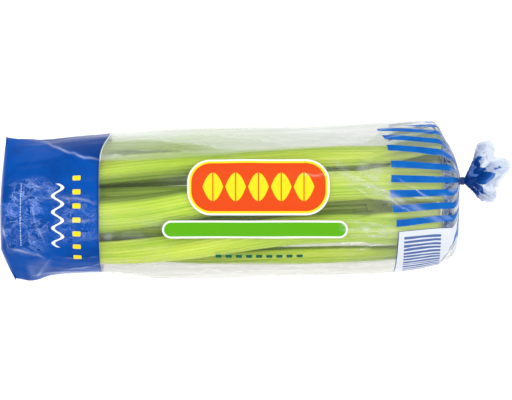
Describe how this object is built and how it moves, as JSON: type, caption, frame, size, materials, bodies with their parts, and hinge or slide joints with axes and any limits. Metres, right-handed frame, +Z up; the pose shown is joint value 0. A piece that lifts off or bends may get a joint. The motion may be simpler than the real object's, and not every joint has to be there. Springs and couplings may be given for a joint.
{
  "type": "head of celery in a film bag",
  "caption": "Whole head of celery lying on its side in a printed clear film bag, sealed at the root end, gathered at a tied neck with a ruffled tail.",
  "frame": {"origin": "middle of the footprint, at the height of the surface that the bag lies on", "axes": "+X along the head from its root end to the ruffled tail, +Z up, +Y across"},
  "size_m": [0.4358, 0.1382, 0.0934],
  "materials": {
    "butt": "matte, pale cream-green cut stem",
    "outer_stalk": "satin, ribbed yellow-green",
    "inner_stalk": "satin, light yellow-green",
    "heart_stalk": "satin, pale yellow-green",
    "film": "gloss, clear film printed in blue, orange-red and green",
    "tie": "gloss, white"
  },
  "bodies": {
    "root": {"root_butt": "butt", "outer_stalk_1": "outer_stalk", "outer_stalk_2": "outer_stalk", "outer_stalk_3": "outer_stalk", "outer_stalk_4": "outer_stalk", "outer_stalk_5": "outer_stalk", "outer_stalk_6": "outer_stalk", "inner_stalk_1": "inner_stalk", "inner_stalk_2": "inner_stalk", "inner_stalk_3": "inner_stalk", "inner_stalk_4": "inner_stalk", "inner_stalk_5": "inner_stalk", "heart_stalk_1": "heart_stalk", "heart_stalk_2": "heart_stalk", "heart_stalk_3": "heart_stalk", "film_bag": "film", "neck_tie": "tie"}
  },
  "joints": []
}
